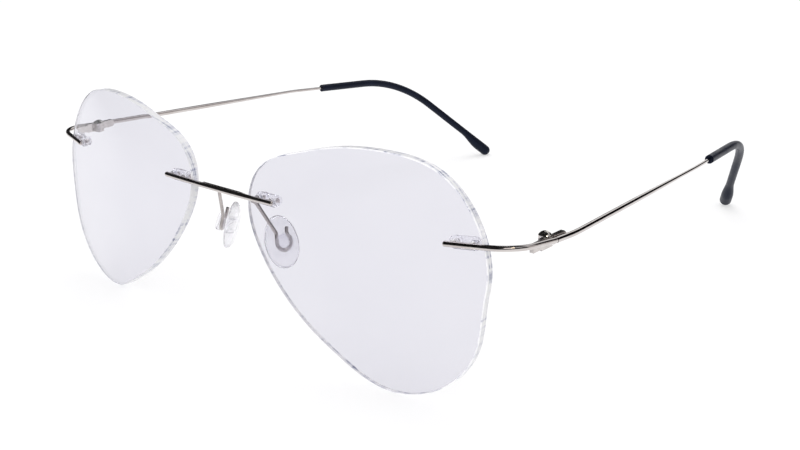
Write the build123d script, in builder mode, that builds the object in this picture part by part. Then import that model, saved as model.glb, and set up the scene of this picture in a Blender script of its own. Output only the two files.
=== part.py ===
from build123d import *

import os
from math import cos, radians, sin, sqrt

# Rimless eyeglasses, in millimetres.
# +Z is up, the front faces -Y, the temples run back along +Y, the wearer's left is +X.
# The origin is on the table, under the middle of the open glasses.
# Pieces are modelled on the wearer's left and mirrored for the right.

FRONT = -74.91  # y of the lens centres

# lenses
LENS_CENTRE = Vector(37.84, FRONT, 24.82)
LENS_WRAP = 8.1  # degrees the outer edge is swept back
LENS_LEAN = 2.8  # degrees the top leans back
LENS_RADIUS = 173.0  # curve of the front surface
LENS_THICK = 2.0
LENS_BEVEL = 0.2
LENS_OUTLINE = [
    (28.2, 0.0),
    (26.2, 12.6),
    (17.6, 22.0),
    (5.6, 24.5),
    (-5.4, 23.8),
    (-16.7, 20.95),
    (-23.3, 18.4),
    (-27.8, 13.4),
    (-28.4, 6.5),
    (-25.7, 0.0),
    (-18.75, -9.0),
    (-11.95, -15.0),
    (-4.5, -19.8),
    (5.6, -24.4),
    (17.7, -22.25),
    (26.25, -12.6),
]

# wires and lens fixings
WIRE_R = 0.57  # bridge bar and end pieces
WIRE_GAP = 0.08  # between a wire and the lens it lies on
PIN_R = 0.45
SLEEVE_R = 0.8  # sleeve barrel, which fills the lens hole
SLEEVE_FLANGE = 2.6
FLANGE_THICK = 0.8
BOSS_R = 1.05
BOSS_LENGTH = 0.9
BAR_END_X = 16.7
BAR_END_Z = 34.72
BAR_MIDDLE_Z = 34.47
BRIDGE_MOUNT = (13.85, 34.7)  # x and z of the middle of a pair of holes
BRIDGE_HOLES = 3.7  # between the two holes
SIDE_MOUNT = (60.6, 33.94)
SIDE_HOLES = 3.9

# end piece, from its tip on the lens to the hinge seam
SIDE_TIP_AT = (57.5, 33.79)  # x and z
SIDE_EDGE_AT = (65.0, 34.13)  # where the wire leaves the lens
CORNER_REACH = 1.75  # corner, as a multiple of tip to edge
CORNER_R = 7.5
SEAM = Vector(71.38, FRONT + 19.89, 33.22)

# hinge
AXIS_X = 69.4
AXIS_Y = FRONT + 19.24
KNUCKLE_R = 1.3
KNUCKLE_Z = (31.92, 32.57, 33.47, 34.12)  # lower knuckle, slot, upper knuckle
SLOT_GAP = 0.05
SCREW_R = 0.5
RUNNING_GAP = 0.05
DOME_HEIGHT = 0.75
LEAF_X = (69.85, 70.75)  # inner and outer face of both leaves

# temple: wire and sleeve follow one path
TEMPLE_PATH = [
    SEAM + Vector(0, 0.1, 0),
    Vector(71.25, FRONT + 26.54, 32.78),
    Vector(64.7, FRONT + 86.03, 30.45),
    Vector(57.5, FRONT + 125.45, 27.6),
]
TEMPLE_END = Vector(40.95, FRONT + 151.8, 0.92)
TEMPLE_BENDS = (60.0, 60.0, 36.0)
TEMPLE_R = (0.6, 0.4)  # at the hinge and inside the sleeve
TAPER = (0.46, 0.94)  # where it thins, as shares of the run between the first two bends
TIP_START = 0.26  # share of the last straight before the drop
TIP_R = 1.04
CLUB_START = 12.0  # the sleeve thickens between these distances from its end
CLUB_FULL = 4.8
CLUB_R = 1.58
CLUB_DROP = 0.5  # how far the thick end's middle is below the wire's line
CLUB_STEPS = 6
WIRE_STOP = 6.0  # the wire ends this far short of the sleeve's end

# nose pads
PAD_CENTRE = Vector(8.4, FRONT + 9.73, 21.42)
PAD_AXIS = Vector(0.85, -0.459, 0.252).normalized()  # from the nose towards the lens
PAD_ACROSS = Vector(0.44, 0.887, 0.132)
PAD_LONG = 12.0
PAD_WIDE = 7.6
PAD_HALF = 1.2
STUD_BASE_R = 1.7
STUD_BASE = 0.6
NECK_R = 1.06
COLLAR_R = 1.5
BUTTON_R = 2.05
BUTTON_THICK = 0.85

# wire that carries the pads
PAD_WIRE_R = 0.4
HOOK_R = 1.55  # middle of the wire, around the neck
HOOK_HEIGHT = 2.2  # from the pad's middle, along its axis
HOOK_GAP = 0.1
PAD_WIRE_BACK = 0.93  # behind the bridge bar
PAD_WIRE_X = 6.4
ARM_ELBOW = Vector(6.5, FRONT + 4.63, 31.4)
HOOK_IN = 178.0  # degrees where the wire meets the hook
HOOK_OUT = 382.5
ANKLE = 2.1  # straight run above the hook
STUB_BEND = (0.8, 2.1)  # the free end, in the hook's plane
STUB_END = (0.95, 3.4)


def lens_plane():
    """Plane on the front of the left lens: x towards the temple, y up, z forwards."""
    wrap, lean = radians(LENS_WRAP), radians(LENS_LEAN)
    across = Vector(cos(wrap), sin(wrap), 0)
    forwards = Vector(sin(wrap) * cos(lean), -cos(wrap) * cos(lean), sin(lean))
    return Plane(origin=LENS_CENTRE, x_dir=across, z_dir=forwards)


LENS_PLANE = lens_plane()
LENS_BALL = LENS_CENTRE - LENS_PLANE.z_dir * LENS_RADIUS


def lens_front(x, z):
    """Point on the front surface of the left lens."""
    dx, dz = x - LENS_BALL.X, z - LENS_BALL.Z
    return Vector(x, LENS_BALL.Y - sqrt(LENS_RADIUS**2 - dx**2 - dz**2), z)


def over_lens(x, z):
    """Middle of a wire that lies on the front of the left lens."""
    point = lens_front(x, z)
    outwards = (point - LENS_BALL).normalized()
    return point + outwards * (WIRE_R + WIRE_GAP)


def mount_plane(mount, along):
    """Plane on the lens front at a pair of holes: x along the wire, z forwards."""
    point = lens_front(*mount)
    return Plane(origin=point, x_dir=along, z_dir=(point - LENS_BALL).normalized())


BAR_END = over_lens(BAR_END_X, BAR_END_Z)
BAR_MIDDLE = Vector(0, BAR_END.Y + 0.25, BAR_MIDDLE_Z)
SIDE_TIP = over_lens(*SIDE_TIP_AT)
CORNER = SIDE_TIP + (over_lens(*SIDE_EDGE_AT) - SIDE_TIP) * CORNER_REACH
BRIDGE_PLANE = mount_plane(BRIDGE_MOUNT, Vector(1, 0, 0))
SIDE_PLANE = mount_plane(SIDE_MOUNT, CORNER - SIDE_TIP)
MOUNTS = [(BRIDGE_PLANE, BRIDGE_HOLES), (SIDE_PLANE, SIDE_HOLES)]

PAD_PLANE = Plane(origin=PAD_CENTRE, x_dir=PAD_ACROSS, z_dir=PAD_AXIS)
HOOK_PLANE = Plane(
    origin=PAD_CENTRE + PAD_AXIS * HOOK_HEIGHT,
    x_dir=Vector(0.476, 0.879, 0),
    z_dir=PAD_AXIS,
)


def hinge_plane(height):
    """Level plane on the left hinge axis."""
    return Plane(origin=(AXIS_X, AXIS_Y, height), x_dir=(1, 0, 0), z_dir=(0, 0, 1))


def round_bar(path, radius, start):
    """Sweep a round section along a path that begins at the given point."""
    with BuildSketch(Plane(origin=start, z_dir=path.line % 0)) as section:
        Circle(radius)
    sweep(section.sketch, path=path.line)


# ---------------------------------------------------------------- lens and its fixings


def build_lens():
    with BuildPart() as lens:
        with BuildSketch(LENS_PLANE.offset(8)):
            with BuildLine():
                Spline(*LENS_OUTLINE, periodic=True)
            make_face()
        extrude(amount=-20)
        with Locations(LENS_BALL):
            Sphere(LENS_RADIUS, mode=Mode.INTERSECT)
            Sphere(LENS_RADIUS - LENS_THICK, mode=Mode.SUBTRACT)
        chamfer(lens.edges(), LENS_BEVEL)
        for plane, holes in MOUNTS:
            with BuildSketch(plane.offset(2)):
                with GridLocations(holes, 0, 2, 1):
                    Circle(SLEEVE_R)
            extrude(amount=-6, mode=Mode.SUBTRACT)
    return lens


def build_sleeve(plane, holes, lens):
    """Clear double sleeve pressed through the lens from behind."""
    back = -LENS_THICK - FLANGE_THICK
    with BuildPart() as sleeve:
        with BuildSketch(plane.offset(back)):
            SlotCenterToCenter(holes, SLEEVE_FLANGE)
        extrude(amount=FLANGE_THICK + 0.2)
        fillet(sleeve.faces().sort_by(Axis(plane.origin, plane.z_dir))[0].edges(), 0.25)
        add(lens.part, mode=Mode.SUBTRACT)
        with BuildSketch(plane.offset(-0.05)):
            with GridLocations(holes, 0, 2, 1):
                Circle(SLEEVE_R)
        extrude(amount=back + 0.1)
        with BuildSketch(plane.offset(back + 0.1)):
            with GridLocations(holes, 0, 2, 1):
                Circle(BOSS_R)
        extrude(amount=-BOSS_LENGTH)
        with BuildSketch(plane.offset(2)):
            with GridLocations(holes, 0, 2, 1):
                Circle(PIN_R)
        extrude(amount=-10, mode=Mode.SUBTRACT)
    return sleeve


def build_pins(plane, holes, wire):
    """Two pins brazed to the back of a wire, through the lens to the sleeve's end."""
    end = -LENS_THICK - FLANGE_THICK - 0.5
    with BuildPart() as pins:
        with BuildSketch(plane.offset(end)):
            with GridLocations(holes, 0, 2, 1):
                Circle(PIN_R)
        extrude(amount=-end + WIRE_R / 2)
        add(wire.part, mode=Mode.SUBTRACT)
    return pins


def build_bridge_bar():
    with BuildPart() as bar:
        far_end = Vector(-BAR_END.X, BAR_END.Y, BAR_END.Z)
        with BuildLine() as path:
            ThreePointArc(far_end, BAR_MIDDLE, BAR_END)
        round_bar(path, WIRE_R, far_end)
        with Locations(far_end, BAR_END):
            Sphere(WIRE_R)
    return bar


def build_endpiece():
    with BuildPart() as endpiece:
        with BuildLine() as path:
            FilletPolyline(SIDE_TIP, CORNER, SEAM, radius=CORNER_R)
        round_bar(path, WIRE_R, SIDE_TIP)
        with Locations(SIDE_TIP):
            Sphere(WIRE_R)
    return endpiece


# ---------------------------------------------------------------- hinge


def build_front_leaf(endpiece):
    """Leaf on the inside of the end piece, with the upper and lower knuckles."""
    low, slot_low, slot_high, high = KNUCKLE_Z
    inner, outer = LEAF_X
    with BuildPart() as leaf:
        with BuildSketch(hinge_plane(low)):
            Circle(KNUCKLE_R)
            with Locations((inner - AXIS_X, -3.0)):
                Rectangle(outer - inner, 3.6, align=(Align.MIN, Align.MIN))
        extrude(amount=high - low)
        with BuildSketch(hinge_plane(low + 0.3)):
            with Locations((inner - AXIS_X, -5.6)):
                Rectangle(outer - inner, 2.7, align=(Align.MIN, Align.MIN))
        extrude(amount=high - low - 0.6)
        with BuildSketch(hinge_plane(slot_low)):
            Circle(KNUCKLE_R + 2 * SLOT_GAP)
            with Locations((0, KNUCKLE_R)):
                Rectangle(6, 2 * KNUCKLE_R)
        extrude(amount=slot_high - slot_low, mode=Mode.SUBTRACT)
        with BuildSketch(hinge_plane(low)):
            Circle(SCREW_R)
        extrude(amount=high - low, mode=Mode.SUBTRACT)
        add(endpiece.part, mode=Mode.SUBTRACT)
    return leaf


def build_temple_leaf(wire):
    """Leaf on the inside of the temple, with the middle knuckle."""
    low, slot_low, slot_high, high = KNUCKLE_Z
    inner, outer = LEAF_X
    middle = (low + high) / 2
    with BuildPart() as leaf:
        with BuildSketch(hinge_plane(middle - 0.9)):
            with Locations((inner - AXIS_X, 1.0)):
                Rectangle(outer - inner, 4.2, align=(Align.MIN, Align.MIN))
        extrude(amount=1.8)
        chamfer(leaf.edges().group_by(Axis.Y)[-1].filter_by(Axis.X), 0.6)
        with BuildSketch(hinge_plane(low - 1)):
            Circle(KNUCKLE_R + 2 * SLOT_GAP)
        extrude(amount=high - low + 2, mode=Mode.SUBTRACT)
        with BuildSketch(hinge_plane(slot_low + SLOT_GAP)):
            Circle(KNUCKLE_R)
            with Locations((inner - AXIS_X, 0.3)):
                Rectangle(outer - inner, 1.6, align=(Align.MIN, Align.MIN))
        extrude(amount=slot_high - slot_low - 2 * SLOT_GAP)
        with BuildSketch(hinge_plane(low)):
            Circle(SCREW_R + RUNNING_GAP)
        extrude(amount=high - low, mode=Mode.SUBTRACT)
        add(wire.part, mode=Mode.SUBTRACT)
    return leaf


def build_screw():
    """Domed screw down the hinge axis, with a driver slot in its lower end."""
    low, high = KNUCKLE_Z[0] - 0.3, KNUCKLE_Z[3]
    dome_r = (KNUCKLE_R**2 + DOME_HEIGHT**2) / (2 * DOME_HEIGHT)
    with BuildPart() as screw:
        with BuildSketch(Plane.XZ.offset(-AXIS_Y)):
            with BuildLine():
                Polyline(
                    (AXIS_X, high + DOME_HEIGHT),
                    (AXIS_X, low),
                    (AXIS_X + SCREW_R, low),
                    (AXIS_X + SCREW_R, high),
                    (AXIS_X + KNUCKLE_R, high),
                )
                RadiusArc((AXIS_X + KNUCKLE_R, high), (AXIS_X, high + DOME_HEIGHT), -dome_r)
            make_face()
        revolve(axis=Axis((AXIS_X, AXIS_Y, 0), (0, 0, 1)))
        with BuildSketch(hinge_plane(low)):
            Rectangle(0.25, 2)
        extrude(amount=0.25, mode=Mode.SUBTRACT)
    return screw


# ---------------------------------------------------------------- temple


def drop_direction():
    """Direction of the straight run down behind the ear."""
    return (TEMPLE_END - TEMPLE_PATH[-1]).normalized()


def build_temple_wire():
    """Round wire that thins along its straight run and turns down behind the ear."""
    front, bend, back = TEMPLE_PATH[:3]
    thick, thin = TEMPLE_R
    taper_start, taper_end = [bend + (back - bend) * share for share in TAPER]
    end = TEMPLE_END - drop_direction() * WIRE_STOP
    with BuildPart() as wire:
        with BuildLine() as path:
            FilletPolyline(front, bend, taper_start, radius=TEMPLE_BENDS[0])
        round_bar(path, thick, front)
        with Locations(Plane(taper_start, z_dir=back - bend)):
            length = (taper_end - taper_start).length
            Cone(thick, thin, length, align=(Align.CENTER, Align.CENTER, Align.MIN))
        with BuildLine() as path:
            FilletPolyline(taper_end, *TEMPLE_PATH[2:], end, radius=TEMPLE_BENDS[1:])
        round_bar(path, thin, taper_end)
    return wire


def club_plane(distance, drop=0.0):
    """Plane across the sleeve's thick end, a distance back from its end."""
    along = drop_direction()
    above = (Vector(0, 0, 1) - along * along.Z).normalized()
    return Plane(TEMPLE_END - along * distance - above * drop, x_dir=above, z_dir=along)


def build_temple_tip(wire):
    """Black silicone sleeve over the end of the wire, thicker at its rounded end."""
    before, corner = TEMPLE_PATH[-2:]
    start = before + (corner - before) * TIP_START
    with BuildPart() as tip:
        with BuildLine() as path:
            FilletPolyline(start, corner, club_plane(CLUB_START).origin, radius=TEMPLE_BENDS[-1])
        round_bar(path, TIP_R, start)
        for step in range(CLUB_STEPS + 1):
            share = step / CLUB_STEPS
            grown = share**2 * (3 - 2 * share)
            distance = CLUB_START + (CLUB_FULL - CLUB_START) * share
            with BuildSketch(club_plane(distance, CLUB_DROP * grown)):
                Circle(TIP_R + (CLUB_R - TIP_R) * grown)
        loft()
        with BuildSketch(club_plane(CLUB_FULL, CLUB_DROP)):
            Circle(CLUB_R)
        extrude(amount=CLUB_FULL - CLUB_R)
        with Locations(club_plane(CLUB_R, CLUB_DROP).origin):
            Sphere(CLUB_R)
        add(wire.part, mode=Mode.SUBTRACT)
    return tip


# ---------------------------------------------------------------- nose pads


def hook_point(degrees, radius=HOOK_R):
    """Point around the hook, counted from its x direction."""
    a = radians(degrees)
    return HOOK_PLANE.from_local_coords(Vector(radius * cos(a), radius * sin(a), 0))


def build_pad_wire(bar):
    """One wire brazed along the back of the bar, ending in a hook for each pad."""
    hook_in, hook_out = hook_point(HOOK_IN), hook_point(HOOK_OUT)
    into = hook_point(HOOK_IN - 90, 1.0) - HOOK_PLANE.origin
    ankle = hook_in + into * ANKLE
    stub_bend = HOOK_PLANE.from_local_coords(Vector(*STUB_BEND, 0))
    stub_end = HOOK_PLANE.from_local_coords(Vector(*STUB_END, 0))
    middle = BAR_MIDDLE + Vector(0, PAD_WIRE_BACK, 0)
    shoulder = Vector(PAD_WIRE_X, middle.Y, middle.Z)
    with BuildPart() as wire:
        with BuildLine() as path:
            FilletPolyline(middle, shoulder, ARM_ELBOW, ankle, hook_in, radius=(1.2, 1.6, 1.2))
            ThreePointArc(hook_in, hook_point((HOOK_IN + HOOK_OUT) / 2), hook_out)
            FilletPolyline(hook_out, stub_bend, stub_end, radius=0.6)
        round_bar(path, PAD_WIRE_R, middle)
        mirror(about=Plane.YZ)
        add(bar.part, mode=Mode.SUBTRACT)
    return wire


def build_pad_stud():
    """Clear hard insert: a base inside the pad, a neck in the hook and a button."""
    neck_top = HOOK_HEIGHT + PAD_WIRE_R + HOOK_GAP
    collar_top = HOOK_HEIGHT - PAD_WIRE_R - HOOK_GAP
    with BuildPart() as stud:
        with BuildSketch(PAD_PLANE.offset(PAD_HALF - STUD_BASE)):
            Circle(STUD_BASE_R)
        extrude(amount=STUD_BASE)
        with BuildSketch(PAD_PLANE.offset(PAD_HALF)):
            Circle(COLLAR_R)
        extrude(amount=collar_top - PAD_HALF)
        with BuildSketch(PAD_PLANE.offset(collar_top)):
            Circle(NECK_R)
        extrude(amount=neck_top - collar_top)
        with BuildSketch(PAD_PLANE.offset(neck_top)):
            Circle(BUTTON_R)
        extrude(amount=BUTTON_THICK)
        fillet(stud.edges().sort_by(Axis(PAD_CENTRE, PAD_AXIS))[-1], 0.35)
    return stud


def build_nose_pad(stud):
    """Soft clear cushion with rounded edges, moulded round the insert's base."""
    with BuildPart() as pad:
        with BuildSketch(PAD_PLANE.offset(-PAD_HALF)):
            Ellipse(PAD_WIDE / 2, PAD_LONG / 2)
        extrude(amount=2 * PAD_HALF)
        fillet(pad.edges().sort_by(Axis(PAD_CENTRE, PAD_AXIS))[0], 1.0)
        fillet(pad.edges().sort_by(Axis(PAD_CENTRE, PAD_AXIS))[-1], 0.6)
        add(stud.part, mode=Mode.SUBTRACT)
    return pad


# ---------------------------------------------------------------- files


def save(name, piece):
    piece.part.label = name
    export_step(piece.part, f"parts/{name}.step")


def save_pair(name, left):
    """Save a left-hand piece and its mirror image."""
    with BuildPart() as right:
        mirror(left.part, about=Plane.YZ)
    save("left_" + name, left)
    save("right_" + name, right)


os.makedirs("parts", exist_ok=True)

lens = build_lens()
bar = build_bridge_bar()
endpiece = build_endpiece()
temple_wire = build_temple_wire()
stud = build_pad_stud()

with BuildPart() as bridge_pins:
    add(build_pins(BRIDGE_PLANE, BRIDGE_HOLES, bar).part)
    mirror(about=Plane.YZ)

save("bridge_bar", bar)
save("bridge_pins", bridge_pins)
save("pad_wire", build_pad_wire(bar))
save_pair("lens", lens)
save_pair("bridge_sleeve", build_sleeve(BRIDGE_PLANE, BRIDGE_HOLES, lens))
save_pair("endpiece_sleeve", build_sleeve(SIDE_PLANE, SIDE_HOLES, lens))
save_pair("endpiece", endpiece)
save_pair("endpiece_pins", build_pins(SIDE_PLANE, SIDE_HOLES, endpiece))
save_pair("front_hinge_leaf", build_front_leaf(endpiece))
save_pair("temple_hinge_leaf", build_temple_leaf(temple_wire))
save_pair("hinge_screw", build_screw())
save_pair("temple_wire", temple_wire)
save_pair("temple_tip", build_temple_tip(temple_wire))
save_pair("pad_stud", stud)
save_pair("nose_pad", build_nose_pad(stud))
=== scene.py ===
"""Looks of the rimless eyeglasses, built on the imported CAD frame. Lengths are in metres."""

import math

import bmesh
import bpy
from mathutils import Matrix, Vector


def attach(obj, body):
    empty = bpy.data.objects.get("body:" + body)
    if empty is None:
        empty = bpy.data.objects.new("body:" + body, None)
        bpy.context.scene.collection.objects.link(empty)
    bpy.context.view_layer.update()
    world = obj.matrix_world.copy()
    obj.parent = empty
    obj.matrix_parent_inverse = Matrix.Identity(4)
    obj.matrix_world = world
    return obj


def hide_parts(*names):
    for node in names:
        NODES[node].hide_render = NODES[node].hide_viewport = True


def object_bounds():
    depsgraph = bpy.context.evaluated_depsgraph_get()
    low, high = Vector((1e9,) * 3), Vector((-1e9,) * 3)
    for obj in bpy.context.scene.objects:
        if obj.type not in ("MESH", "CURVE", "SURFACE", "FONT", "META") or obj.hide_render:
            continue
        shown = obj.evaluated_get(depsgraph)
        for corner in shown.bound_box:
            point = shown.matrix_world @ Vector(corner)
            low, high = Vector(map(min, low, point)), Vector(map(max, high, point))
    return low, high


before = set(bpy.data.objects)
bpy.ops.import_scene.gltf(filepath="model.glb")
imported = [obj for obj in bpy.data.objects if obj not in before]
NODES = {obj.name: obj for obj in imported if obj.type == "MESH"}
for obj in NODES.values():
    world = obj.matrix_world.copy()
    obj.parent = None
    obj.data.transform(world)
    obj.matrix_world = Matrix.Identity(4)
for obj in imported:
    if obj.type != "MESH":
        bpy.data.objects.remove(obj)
cad_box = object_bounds()
SIDES = ("left", "right")

MM = 0.001
LENS_LEAN = math.radians(2.8)
LENS_AXIS = (0.0, -math.cos(LENS_LEAN), math.sin(LENS_LEAN))
CAMERA_AT = (0.19253, -0.24134, 0.11398)
CAMERA_TILT, CAMERA_ROLL, CAMERA_HEADING = (math.radians(a) for a in (71.56, 2.21, 45.15))
CAMERA_LENS = 55.51  # on a 36 mm sensor
CAMERA_SHIFT = (0.137, -0.0218)  # in frame widths


# ---------------------------------------------------------------- node helpers


class Nodes:
    """A material's node tree, with short calls to add nodes and join them."""

    def __init__(self, name):
        self.material = bpy.data.materials.new(name)
        self.material.use_nodes = True
        self.tree = self.material.node_tree
        self.tree.nodes.clear()
        self.output = self.tree.nodes.new("ShaderNodeOutputMaterial")

    def add(self, kind, inputs=None, **settings):
        node = self.tree.nodes.new("ShaderNode" + kind)
        for name, value in settings.items():
            setattr(node, name, value)
        for name, value in (inputs or {}).items():
            if isinstance(value, bpy.types.NodeSocket):
                self.tree.links.new(value, node.inputs[name])
            else:
                node.inputs[name].default_value = value
        return node

    def place(self, scale=(1, 1, 1), rotation=(0, 0, 0), location=(0, 0, 0)):
        """Object coordinates, turned and stretched."""
        coordinates = self.add("TexCoord").outputs["Object"]
        mapping = self.add(
            "Mapping",
            {"Vector": coordinates, "Scale": scale, "Rotation": rotation, "Location": location},
        )
        return mapping.outputs["Vector"]

    def noise(self, vector, scale, detail=3.0, roughness=0.5):
        node = self.add(
            "TexNoise",
            {"Vector": vector, "Scale": scale, "Detail": detail, "Roughness": roughness},
        )
        return node.outputs["Fac"]

    def ramp(self, factor, *stops):
        """Colour ramp from (position, colour) stops."""
        node = self.add("ValToRGB", {"Fac": factor})
        elements = node.color_ramp.elements
        while len(elements) < len(stops):
            elements.new(0.5)
        for element, (position, colour) in zip(elements, stops):
            element.position = position
            element.color = (*colour, 1.0)
        return node.outputs["Color"]

    def spread(self, factor, low, high):
        """A number that runs from low to high as the factor runs from 0.3 to 0.7."""
        node = self.add(
            "MapRange",
            {"Value": factor, "From Min": 0.3, "From Max": 0.7, "To Min": low, "To Max": high},
        )
        return node.outputs["Result"]

    def mix(self, factor, first, second, kind="FLOAT"):
        node = self.add("Mix", data_type=kind)
        picked = [socket for socket in node.inputs if socket.enabled]
        for socket, value in zip(picked, (factor, first, second)):
            if isinstance(value, bpy.types.NodeSocket):
                self.tree.links.new(value, socket)
            else:
                socket.default_value = value
        return next(socket for socket in node.outputs if socket.enabled)

    def bump(self, height, strength, distance, normal=None):
        inputs = {"Height": height, "Strength": strength, "Distance": distance}
        if normal is not None:
            inputs["Normal"] = normal
        return self.add("Bump", inputs).outputs["Normal"]

    def principled(self, inputs):
        return self.add("BsdfPrincipled", inputs).outputs["BSDF"]

    def finish(self, shader):
        self.tree.links.new(shader, self.output.inputs["Surface"])
        return self.material

    def let_light_through(self, shader, colour):
        """Lets lamps light what is behind clear plastic."""
        path = self.add("LightPath")
        clear = self.add("BsdfTransparent", {"Color": (*colour, 1.0)})
        mix = self.add("MixShader", {"Fac": path.outputs["Is Shadow Ray"]})
        self.tree.links.new(shader, mix.inputs[1])
        self.tree.links.new(clear.outputs["BSDF"], mix.inputs[2])
        return mix.outputs["Shader"]


# ---------------------------------------------------------------- materials


def drawn_metal(name, stretch, dark, light, roughness):
    """Polished drawn wire: faint lengthwise draw lines and slight changes of tone."""
    m = Nodes(name)
    lines = m.noise(m.place(stretch), 1.0, 4.0, 0.6)
    cloud = m.noise(m.place(), 260.0, 2.0)
    colour = m.ramp(cloud, (0.35, dark), (0.65, light))
    normal = m.bump(lines, 0.16, 0.00002)
    shader = m.principled(
        {
            "Base Color": colour,
            "Metallic": 1.0,
            "Roughness": m.spread(cloud, *roughness),
            "Normal": normal,
        }
    )
    return m.finish(shader)


def lens_plastic():
    """Clear polished plastic with a slight cool tint; its ground rim has painted dark and bright
    streaks that stand in for refraction in the bevel.
    """
    m = Nodes("lens_clear")
    normal = m.add("TexCoord").outputs["Normal"]
    along = m.add("VectorMath", {0: normal, 1: LENS_AXIS}, operation="DOT_PRODUCT")
    facing = m.add("Math", {0: along.outputs["Value"]}, operation="ABSOLUTE").outputs["Value"]
    face = m.add("MapRange", {"Value": facing, "From Min": 0.76, "From Max": 0.88})
    face = face.outputs["Result"]
    haze = m.noise(m.place(), 45.0, 3.0)
    tint = m.ramp(haze, (0.3, (0.775, 0.77, 0.825)), (0.7, (0.80, 0.795, 0.845)))
    grinding = m.noise(m.place((700.0, 40.0, 700.0)), 1.0, 4.0, 0.65)
    polishing = m.noise(m.place((55.0, 1900.0, 55.0)), 1.0, 3.0, 0.6)
    streaks = m.mix(0.5, grinding, polishing)
    # painted refraction: dark and bright streaks on the ground rim stand in for light bent in
    # the bevel
    painted_edge_streaks = m.ramp(
        streaks,
        (0.39, (0.26, 0.28, 0.38)),
        (0.45, (0.72, 0.73, 0.80)),
        (0.52, (0.99, 0.99, 1.0)),
    )
    shader = m.principled(
        {
            "Base Color": m.mix(face, painted_edge_streaks, tint, "RGBA"),
            "Roughness": m.mix(face, m.spread(streaks, 0.12, 0.3), m.spread(haze, 0.0, 0.012)),
            "IOR": 1.5,
            "Specular Tint": (0.04, 0.045, 0.06, 1.0),
            "Transmission Weight": m.mix(face, m.spread(streaks, 0.1, 0.35), 1.0),
            "Normal": m.bump(streaks, 0.12, 0.00002),
        }
    )
    return m.finish(m.let_light_through(shader, (0.93, 0.93, 0.945)))


def clear_plastic():
    """Hard clear moulding, slightly frosted by its tool."""
    m = Nodes("moulded_clear")
    grain = m.noise(m.place(), 1800.0, 3.0)
    shader = m.principled(
        {
            "Base Color": m.ramp(grain, (0.3, (0.90, 0.895, 0.925)), (0.7, (0.96, 0.96, 0.975))),
            "Roughness": m.spread(grain, 0.04, 0.12),
            "IOR": 1.14,
            "Transmission Weight": m.spread(grain, 0.88, 0.96),
            "Normal": m.bump(grain, 0.1, 0.00002),
        }
    )
    return m.finish(m.let_light_through(shader, (0.94, 0.94, 0.95)))


def pad_silicone():
    """Soft clear silicone with a cool cast and a slightly waxy surface."""
    m = Nodes("pad_silicone")
    cloud = m.noise(m.place(), 320.0, 3.0)
    grain = m.noise(m.place(), 2600.0, 2.0)
    colour = m.ramp(cloud, (0.3, (0.91, 0.905, 0.93)), (0.7, (0.95, 0.95, 0.965)))
    shader = m.principled(
        {
            "Base Color": colour,
            "Roughness": m.spread(cloud, 0.06, 0.16),
            "IOR": 1.35,
            "Transmission Weight": m.spread(grain, 0.78, 0.86),
            "Normal": m.bump(grain, 0.15, 0.00002),
        }
    )
    return m.finish(m.let_light_through(shader, (0.9, 0.9, 0.93)))


def sleeve_silicone():
    """Satin black silicone with a blue-grey sheen and a very fine moulded grain."""
    m = Nodes("sleeve_silicone")
    grain = m.noise(m.place(), 5200.0, 3.0, 0.65)
    cloud = m.noise(m.place(), 240.0, 3.0)
    colour = m.ramp(cloud, (0.3, (0.002, 0.003, 0.008)), (0.7, (0.005, 0.007, 0.018)))
    shader = m.principled(
        {
            "Base Color": colour,
            "Roughness": m.spread(cloud, 0.34, 0.44),
            "Specular IOR Level": 0.22,
            "Specular Tint": (0.62, 0.72, 1.0, 1.0),
            "Sheen Weight": 0.02,
            "Sheen Roughness": 0.4,
            "Sheen Tint": (0.45, 0.5, 0.85, 1.0),
            "Normal": m.bump(grain, 0.25, 0.00002),
        }
    )
    return m.finish(shader)


def machined_metal(name, colour, roughness, stretch):
    """Milled hinge metal: fine straight tool marks on every face."""
    m = Nodes(name)
    marks = m.noise(m.place(stretch), 1.0, 4.0, 0.7)
    cloud = m.noise(m.place(), 700.0, 2.0)
    darker = tuple(0.86 * c for c in colour)
    shader = m.principled(
        {
            "Base Color": m.ramp(cloud, (0.3, darker), (0.7, colour)),
            "Metallic": 1.0,
            "Roughness": m.spread(cloud, *roughness),
            "Normal": m.bump(marks, 0.3, 0.00002),
        }
    )
    return m.finish(shader)


def paint(nodes, material):
    for name in nodes:
        data = NODES[name].data
        data.materials.clear()
        data.materials.append(material)


def both(*names):
    return [f"{side}_{name}" for side in SIDES for name in names]


WIRE_DARK, WIRE_LIGHT = (0.57, 0.525, 0.51), (0.65, 0.61, 0.595)
CROSSWISE = drawn_metal(
    "wire_across", (60.0, 9000.0, 9000.0), WIRE_DARK, WIRE_LIGHT, (0.03, 0.07)
)
LENGTHWISE = drawn_metal(
    "wire_along", (9000.0, 60.0, 9000.0), WIRE_DARK, WIRE_LIGHT, (0.03, 0.07)
)
UPRIGHT = drawn_metal(
    "wire_pads", (9000.0, 9000.0, 120.0), (0.42, 0.385, 0.375), (0.50, 0.465, 0.45), (0.12, 0.2)
)
paint(["bridge_bar"] + both("endpiece"), CROSSWISE)
paint(["bridge_pins"] + both("endpiece_pins", "temple_wire"), LENGTHWISE)
paint(["pad_wire"], UPRIGHT)
paint(both("lens"), lens_plastic())
paint(both("bridge_sleeve", "endpiece_sleeve", "pad_stud"), clear_plastic())
paint(both("temple_tip"), sleeve_silicone())
paint(
    both("front_hinge_leaf", "temple_hinge_leaf"),
    machined_metal("hinge_metal", (0.66, 0.62, 0.60), (0.10, 0.2), (9000.0, 90.0, 9000.0)),
)
paint(
    both("hinge_screw"),
    machined_metal("screw_metal", (0.80, 0.77, 0.72), (0.04, 0.08), (4000.0, 4000.0, 400.0)),
)


# ---------------------------------------------------------------- nose pads

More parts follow.
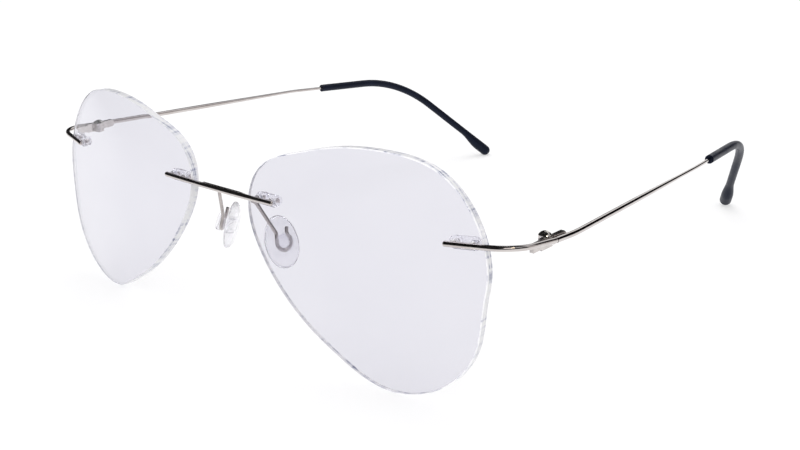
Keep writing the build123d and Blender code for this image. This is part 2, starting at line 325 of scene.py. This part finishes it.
PAD_AXIS = Vector((0.85, -0.459, 0.252)).normalized()  # from the nose to the lens
PAD_ACROSS = Vector((0.44, 0.887, 0.132))
PAD_CENTRE = Vector((8.4, -65.18, 21.42)) * MM
PAD_HALF_WIDTH, PAD_HALF_LENGTH = 3.8 * MM, 6.0 * MM
PAD_TURNS = 64
PAD_PROFILE = [  # share of the outline, distance along the axis in mm: nose side first
    (0.12, -1.20),
    (0.34, -1.17),
    (0.55, -1.08),
    (0.74, -0.90),
    (0.88, -0.62),
    (0.965, -0.22),
    (1.0, 0.22),
    (0.975, 0.62),
    (0.90, 0.88),
    (0.78, 0.98),
    (0.66, 1.0),
]
PAD_BOSS = [  # the raised ring and its recess: radius and distance along the axis in mm
    (2.15, 1.06),
    (1.98, 1.18),
    (1.75, 1.19),
    (1.72, 0.9),
    (1.72, 0.6),
    (0.9, 0.58),
]
PAD_NOSE_END, PAD_RECESS_END = -1.205, 0.58  # where the two closing fans meet, in mm
PAD_EGG = 0.05  # how much narrower the top is than the bottom


def pad_point(turn, share, height, radius=None):
    """Point of the left pad: on the oval outline, or on a circle if a radius is given."""
    a = 2 * math.pi * turn / PAD_TURNS
    if radius is None:
        narrowing = 1 - PAD_EGG * math.sin(a)
        x = share * PAD_HALF_WIDTH * math.cos(a) * narrowing
        y = share * PAD_HALF_LENGTH * math.sin(a)
    else:
        x, y = radius * MM * math.cos(a), radius * MM * math.sin(a)
    across = (PAD_ACROSS - PAD_AXIS * PAD_ACROSS.dot(PAD_AXIS)).normalized()
    up = PAD_AXIS.cross(across)
    return PAD_CENTRE + across * x + up * y + PAD_AXIS * height * MM


def make_pad(side, material):
    """Oval cushion: domed towards the nose, with a raised ring round the insert."""
    mirror = Matrix.Scale(-1 if side == "right" else 1, 3, (1, 0, 0))
    mesh = bmesh.new()
    rings = [
        [mesh.verts.new(mirror @ pad_point(t, share, height)) for t in range(PAD_TURNS)]
        for share, height in PAD_PROFILE
    ]
    rings += [
        [mesh.verts.new(mirror @ pad_point(t, 1, height, radius)) for t in range(PAD_TURNS)]
        for radius, height in PAD_BOSS
    ]
    for ring, following in zip(rings, rings[1:]):
        for t in range(PAD_TURNS):
            n = (t + 1) % PAD_TURNS
            mesh.faces.new((ring[t], ring[n], following[n], following[t]))
    for ring, height in ((rings[0], PAD_NOSE_END), (rings[-1], PAD_RECESS_END)):
        middle = mesh.verts.new(mirror @ (PAD_CENTRE + PAD_AXIS * height * MM))
        for t in range(PAD_TURNS):
            mesh.faces.new((ring[t], ring[(t + 1) % PAD_TURNS], middle))
    bmesh.ops.recalc_face_normals(mesh, faces=mesh.faces)
    for face in mesh.faces:
        face.smooth = True
    data = bpy.data.meshes.new(f"{side}_pad_cushion")
    mesh.to_mesh(data)
    mesh.free()
    pad = bpy.data.objects.new(f"{side}_pad_cushion", data)
    bpy.context.scene.collection.objects.link(pad)
    data.materials.append(material)
    smooth = pad.modifiers.new("smooth", "SUBSURF")
    smooth.levels = smooth.render_levels = 1
    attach(pad, f"{side}_pad")
    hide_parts(f"{side}_nose_pad")


PAD_MATERIAL = pad_silicone()
for pad_side in SIDES:
    make_pad(pad_side, PAD_MATERIAL)


# ---------------------------------------------------------------- studio


def plain_material(name, inputs):
    m = Nodes(name)
    return m.finish(m.principled(inputs))


def card(name, centre, facing, size, material):
    """A flat rectangle of the studio, which isn't part of the object."""
    w, h = size[0] / 2, size[1] / 2
    data = bpy.data.meshes.new(name)
    data.from_pydata([(-w, -h, 0), (w, -h, 0), (w, h, 0), (-w, h, 0)], [], [(0, 1, 2, 3)])
    data.materials.append(material)
    board = bpy.data.objects.new(name, data)
    bpy.context.scene.collection.objects.link(board)
    board.location = centre
    board.rotation_mode = "QUATERNION"
    board.rotation_quaternion = Vector(facing).to_track_quat("Z", "Y")
    return board


def area_light(name, centre, target, size, power, colour=(1, 1, 1)):
    data = bpy.data.lights.new(name, "AREA")
    data.shape = "RECTANGLE"
    data.size, data.size_y = size
    data.energy = power
    data.color = colour
    lamp = bpy.data.objects.new(name, data)
    bpy.context.scene.collection.objects.link(lamp)
    lamp.location = centre
    lamp.rotation_mode = "QUATERNION"
    aim = Vector(target) - Vector(centre)
    lamp.rotation_quaternion = aim.to_track_quat("-Z", "Y")
    return lamp


card(
    "floor",
    (0, 0, cad_box[0].z),
    (0, 0, 1),
    (14, 14),
    plain_material(
        "floor_white",
        {
            "Base Color": (0.45, 0.45, 0.45, 1),
            "Roughness": 0.9,
            "Emission Color": (1, 1, 1, 1),
            "Emission Strength": 0.52,
            "Specular IOR Level": 0.0,
        },
    ),
)
MATT_BLACK = {"Base Color": (0.004, 0.004, 0.004, 1), "Roughness": 1.0}
CARD_LENGTH, CARD_DEPTH = 4, 3
CARD_FADE = 0.16


def glowing(name, colour, strength):
    """An even glow with no gloss of its own."""
    return plain_material(
        name,
        {
            "Base Color": (0, 0, 0, 1),
            "Emission Color": (*colour, 1),
            "Emission Strength": strength,
            "Specular IOR Level": 0.0,
        },
    )


def fading_black():
    """Black that fades out before the card's long edges."""
    m = Nodes("card_fading")
    split = m.add("SeparateXYZ", {"Vector": m.add("TexCoord").outputs["Object"]})
    across = m.add("Math", {0: split.outputs["Y"]}, operation="ABSOLUTE")
    fade = m.add(
        "MapRange",
        {
            "Value": across.outputs["Value"],
            "From Min": CARD_DEPTH / 2 - CARD_FADE,
            "From Max": CARD_DEPTH / 2,
        },
        interpolation_type="SMOOTHSTEP",
    )
    dark = m.principled(MATT_BLACK)
    clear = m.add("BsdfTransparent")
    mix = m.add("MixShader", {"Fac": fade.outputs["Result"]})
    m.tree.links.new(dark, mix.inputs[1])
    m.tree.links.new(clear.outputs["BSDF"], mix.inputs[2])
    return m.finish(mix.outputs["Shader"])


reflected_cards = [
    card("dark_card", (0, -1.605, 0.002), (0, 0, 1), (CARD_LENGTH, CARD_DEPTH), fading_black()),
    card(
        "dark_ceiling",
        (-0.16, -0.22, 0.40),
        (0, 0, -1),
        (0.98, 0.8),
        plain_material("card_black", MATT_BLACK),
    ),
    card(
        "grey_card",
        (0.85, 0.62, 0.3),
        (-1, -0.3, 0),
        (0.7, 0.8),
        glowing("card_grey", (1.0, 0.95, 0.93), 0.58),
    ),
    card(
        "light_card",
        (-0.15, 0.6, 0.32),
        (0, -1, 0),
        (0.30, 0.50),
        glowing("card_light", (1, 1, 1), 1.0),
    ),
]
for board in reflected_cards:  # only reflections see these
    board.visible_camera = False
    board.visible_shadow = False
    board.visible_diffuse = False
    board.visible_transmission = False

area_light("key", (-0.25, 0.15, 0.95), (0, 0, 0), (0.7, 0.7), 3.0)
area_light("fill", (0.7, -0.5, 0.6), (0, 0, 0.02), (0.35, 0.35), 0.5, (1.0, 0.95, 0.9))
area_light(  # a small warm lamp for the glint on the near hinge screw
    "sparkle",
    (0.42, -0.16, 0.42),
    (0.07, -0.05, 0.03),
    (0.06, 0.06),
    0.12,
    (1.0, 0.86, 0.62),
)

WHITE_ROOM = (0.9, 0.9, 0.92, 1)
WALL_TONES = [(0.0, 0.02), (0.12, 0.004), (0.48, 0.004), (0.64, 0.5), (0.85, 0.95)]
WALL_SLOPE = 0.6  # how much the walls rise towards the left
THROUGH_PLASTIC = -0.75  # rays bent by clear plastic see this much less of the dark walls


def studio_world():
    """White all round; only reflections meet the dark walls between floor and ceiling."""
    world = bpy.data.worlds.new("studio")
    world.use_nodes = True
    tree = world.node_tree
    tree.nodes.clear()
    direction = tree.nodes.new("ShaderNodeTexCoord")
    split = tree.nodes.new("ShaderNodeSeparateXYZ")
    tree.links.new(direction.outputs["Generated"], split.inputs["Vector"])
    leftward = tree.nodes.new("ShaderNodeMath")
    leftward.operation = "MINIMUM"
    tree.links.new(split.outputs["X"], leftward.inputs[0])
    leftward.inputs[1].default_value = 0.0
    level = tree.nodes.new("ShaderNodeMath")
    level.operation = "MULTIPLY_ADD"
    tree.links.new(leftward.outputs["Value"], level.inputs[0])
    level.inputs[1].default_value = WALL_SLOPE
    tree.links.new(split.outputs["Z"], level.inputs[2])
    walls = tree.nodes.new("ShaderNodeValToRGB")
    tree.links.new(level.outputs["Value"], walls.inputs["Fac"])
    while len(walls.color_ramp.elements) < len(WALL_TONES):
        walls.color_ramp.elements.new(0.5)
    for element, (position, tone) in zip(walls.color_ramp.elements, WALL_TONES):
        element.position = position
        element.color = (tone, tone, 1.03 * tone, 1)
    path = tree.nodes.new("ShaderNodeLightPath")
    reflected = tree.nodes.new("ShaderNodeMath")
    reflected.operation = "MULTIPLY_ADD"
    reflected.use_clamp = True
    tree.links.new(path.outputs["Is Transmission Ray"], reflected.inputs[0])
    reflected.inputs[1].default_value = THROUGH_PLASTIC
    tree.links.new(path.outputs["Is Glossy Ray"], reflected.inputs[2])
    mix = tree.nodes.new("ShaderNodeMix")
    mix.data_type = "RGBA"
    picked = [socket for socket in mix.inputs if socket.enabled]
    tree.links.new(reflected.outputs["Value"], picked[0])
    picked[1].default_value = WHITE_ROOM
    tree.links.new(walls.outputs["Color"], picked[2])
    background = tree.nodes.new("ShaderNodeBackground")
    result = next(socket for socket in mix.outputs if socket.enabled)
    tree.links.new(result, background.inputs["Color"])
    output = tree.nodes.new("ShaderNodeOutputWorld")
    tree.links.new(background.outputs["Background"], output.inputs["Surface"])
    return world


bpy.context.scene.world = studio_world()

camera_data = bpy.data.cameras.new("camera")
camera_data.lens = CAMERA_LENS
camera_data.shift_x, camera_data.shift_y = CAMERA_SHIFT
camera_data.clip_start, camera_data.clip_end = 0.01, 50
camera = bpy.data.objects.new("camera", camera_data)
bpy.context.scene.collection.objects.link(camera)
camera.location = CAMERA_AT
camera.rotation_euler = (CAMERA_TILT, CAMERA_ROLL, CAMERA_HEADING)
bpy.context.scene.camera = camera
bpy.context.scene.view_settings.view_transform = "Standard"

bpy.context.view_layer.update()
